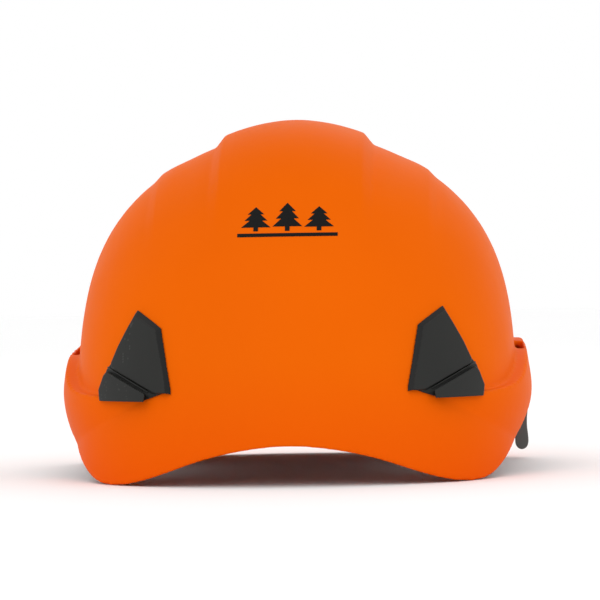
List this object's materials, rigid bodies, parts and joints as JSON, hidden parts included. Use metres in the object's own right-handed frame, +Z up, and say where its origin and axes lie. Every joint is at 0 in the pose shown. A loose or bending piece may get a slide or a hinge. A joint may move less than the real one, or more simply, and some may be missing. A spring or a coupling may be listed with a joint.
{
  "type": "arborist climbing helmet",
  "caption": "Climbing-style arborist safety helmet: ribbed orange shell, dark side plates, lamp clips, webbing suspension and knob-adjusted nape cradle.",
  "frame": {"origin": "centre of the bounding box's base, on the floor the rim rests on", "axes": "+Z up; the wearer's face looks towards -Y; +X is the wearer's left"},
  "size_m": [0.228, 0.2793, 0.1699],
  "materials": {
    "shell_orange": "satin moulded ABS",
    "dark_plastic": "fine texture",
    "clip_plastic": "fine texture",
    "black_plastic": "moulded",
    "band_plastic": "moulded nylon",
    "gear_plastic": "acetal",
    "steel_fastener": "zinc plated",
    "webbing": "woven polyester",
    "pad_fabric": "brushed knit over foam",
    "grip_rubber": "moulded ribs"
  },
  "bodies": {
    "shell": {"shell": "shell_orange", "side_plate_left": "dark_plastic", "plate_retainer_left": "steel_fastener", "front_lamp_clip_left": "dark_plastic", "rear_clip_base_left": "dark_plastic", "rear_clip_pin_left": "steel_fastener", "side_plate_right": "dark_plastic", "plate_retainer_right": "steel_fastener", "front_lamp_clip_right": "dark_plastic", "rear_clip_base_right": "dark_plastic", "rear_clip_pin_right": "steel_fastener", "strap_key_front_left": "black_plastic", "strap_key_side_left": "black_plastic", "strap_key_rear_left": "black_plastic", "strap_key_rear_right": "black_plastic", "strap_key_side_right": "black_plastic", "strap_key_front_right": "black_plastic", "crown_strap_side": "webbing", "crown_strap_left_front": "webbing", "crown_strap_right_front": "webbing", "crown_pad": "pad_fabric", "headband": "band_plastic", "sweatband": "pad_fabric", "temple_pin_left": "black_plastic", "temple_pin_right": "black_plastic"},
    "nape_hangers": {"hanger_left": "band_plastic", "hanger_right": "band_plastic"},
    "nape_cradle": {"nape_cradle": "band_plastic", "ratchet_housing": "black_plastic", "housing_screw_left": "steel_fastener", "housing_screw_right": "steel_fastener", "nape_pad": "pad_fabric"},
    "rack_left": {"rack_band_left": "band_plastic"},
    "rack_right": {"rack_band_right": "band_plastic"},
    "knob": {"adjuster_knob": "black_plastic", "knob_grip": "grip_rubber", "pinion": "gear_plastic", "knob_screw": "steel_fastener"},
    "rear_clip_left": {"rear_clip_left": "clip_plastic"},
    "rear_clip_right": {"rear_clip_right": "clip_plastic"}
  },
  "joints": [
    {"name": "nape_tilt", "type": "hinge", "parent": "shell", "child": "nape_hangers", "pos_m": [0, -0.01, 0.052], "axis": [-1, 0, 0], "range_deg": [0, 30]},
    {"name": "knob_turn", "type": "hinge", "parent": "nape_cradle", "child": "knob", "pos_m": [0, 0.1, 0.052], "axis": [0, 1, 0], "range_deg": [-160, 45]},
    {"name": "head_size", "type": "slide", "parent": "nape_hangers", "child": "nape_cradle", "axis": [0, 1, 0], "range_m": [-0.0136, 0.0039]},
    {"name": "rack_left_feed", "type": "hinge", "parent": "nape_cradle", "child": "rack_left", "pos_m": [0, 0.007, 0.052], "axis": [0, 0, 1], "range_deg": [-2.7, 9.6]},
    {"name": "rack_right_feed", "type": "hinge", "parent": "nape_cradle", "child": "rack_right", "pos_m": [0, 0.007, 0.052], "axis": [0, 0, 1], "range_deg": [-9.6, 2.7]},
    {"name": "rear_clip_left_turn", "type": "hinge", "parent": "shell", "child": "rear_clip_left", "pos_m": [0.1114, 0.066, 0.031], "axis": [0, -1, 0], "range_deg": [0, 60]},
    {"name": "rear_clip_right_turn", "type": "hinge", "parent": "shell", "child": "rear_clip_right", "pos_m": [-0.1114, 0.066, 0.031], "axis": [0, 1, 0], "range_deg": [0, 60]}
  ],
  "couplings": [
    {"joint": "head_size", "follows": "knob_turn", "m_per_rad": 0.0048},
    {"joint": "rack_left_feed", "follows": "knob_turn", "ratio": -0.05868},
    {"joint": "rack_right_feed", "follows": "knob_turn", "ratio": 0.057554}
  ]
}
